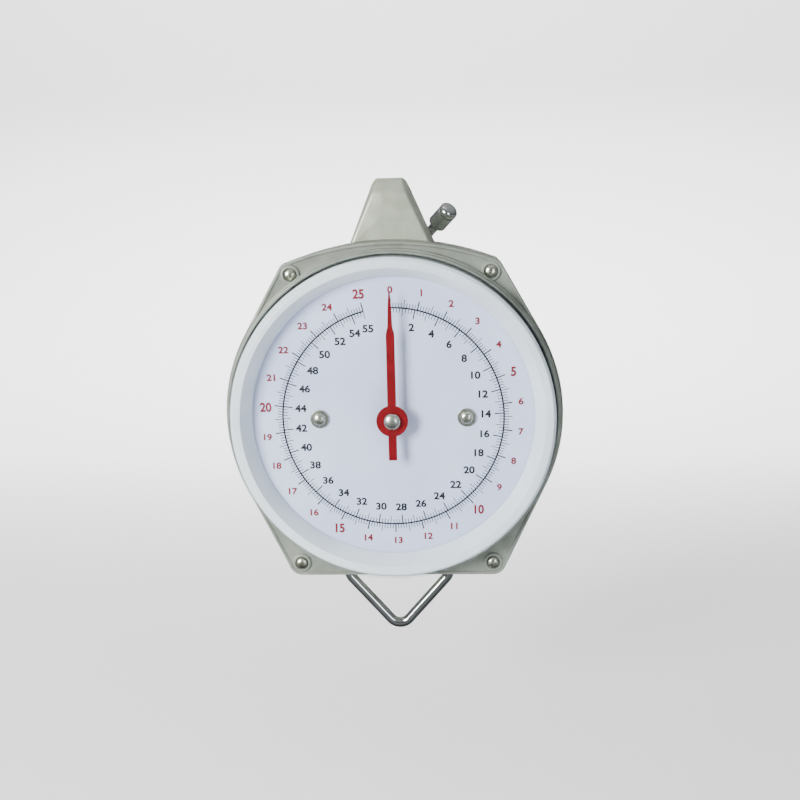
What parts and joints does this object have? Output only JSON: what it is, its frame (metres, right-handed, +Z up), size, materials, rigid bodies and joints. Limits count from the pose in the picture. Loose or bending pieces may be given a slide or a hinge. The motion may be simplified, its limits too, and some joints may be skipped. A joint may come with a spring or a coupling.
{
  "type": "hanging spring scale",
  "caption": "Dial spring scale with a round clear cover, cast case with a top tower and folding hook, red pointer, and a V-shaped load hook below.",
  "frame": {"origin": "middle of the top hook's pin, in the tower above the dial", "axes": "+Z up along the hanging line, the dial faces -Y, +X to the right seen from the front"},
  "size_m": [0.2374, 0.0908, 0.3327],
  "materials": {
    "cast_paint": "grey-green hammered paint on die-cast aluminium, satin",
    "clear_cover": "clear moulded acrylic, polished",
    "white_plastic": "white moulded plastic, satin",
    "dial_print": "white enamelled sheet with printed scales",
    "chrome": "bright chrome plate",
    "zinc": "yellowish zinc plate",
    "steel": "bright rolled steel",
    "spring_steel": "oiled spring wire",
    "brass": "machined brass",
    "red_paint": "red lacquer",
    "rubber": "black rubber, matt"
  },
  "bodies": {
    "case": {"front_case": "cast_paint", "rear_case": "cast_paint", "lens": "clear_cover", "lens_gasket": "rubber", "dial_surround": "white_plastic", "dial_plate": "dial_print", "case_screw_top_left": "zinc", "case_screw_top_right": "zinc", "case_screw_bottom_left": "zinc", "case_screw_bottom_right": "zinc", "chassis_screw_top_left": "zinc", "chassis_screw_top_right": "zinc", "chassis_screw_bottom_left": "zinc", "chassis_screw_bottom_right": "zinc", "dial_screw_left": "zinc", "dial_screw_right": "zinc", "dial_washer_left": "zinc", "dial_washer_right": "zinc", "anchor_nut_left": "zinc", "anchor_nut_right": "zinc", "chassis": "steel", "rack_guide": "steel", "spring_shelf": "steel", "bridge_pillar_top_left": "steel", "bridge_pillar_top_right": "steel", "bridge_pillar_bottom_left": "steel", "bridge_pillar_bottom_right": "steel", "dial_standoff_left": "steel", "dial_standoff_right": "steel", "spring_anchor_left": "steel", "spring_anchor_right": "steel", "hook_pin": "steel", "movement_bridge": "brass", "front_bush": "brass", "rear_bush": "brass", "main_spring_left": "spring_steel", "main_spring_right": "spring_steel"},
    "load_frame": {"load_yoke": "steel", "rack": "brass", "rack_screw": "zinc"},
    "load_hook": {"v_hook": "chrome"},
    "pointer_shaft": {"spindle": "steel", "pinion": "brass", "pointer": "red_paint", "pointer_collet": "brass", "pointer_cap": "zinc"},
    "suspension_hook": {"top_hook": "chrome", "top_hook_tip": "chrome"}
  },
  "joints": [
    {"name": "load_slide", "type": "slide", "parent": "case", "child": "load_frame", "axis": [0, 0, -1], "range_m": [0, 0.0302], "stiffness_N_per_m": 8120, "springref_m": -0.00035, "deforming": ["main_spring_left", "main_spring_right"]},
    {"name": "pointer_spin", "type": "hinge", "parent": "case", "child": "pointer_shaft", "pos_m": [0, -0.029, -0.153], "axis": [0, 1, 0], "range_deg": [0, 347]},
    {"name": "load_hook_swing", "type": "hinge", "parent": "load_frame", "child": "load_hook", "pos_m": [0, 0, -0.207], "axis": [1, 0, 0], "range_deg": [-4.5, 4.5]},
    {"name": "top_hook_swing", "type": "hinge", "parent": "case", "child": "suspension_hook", "pos_m": [0, 0, 0], "axis": [1, 0, 0], "range_deg": [0, 140]}
  ],
  "couplings": [
    {"joint": "pointer_spin", "follows": "load_slide", "rad_per_m": 200}
  ]
}
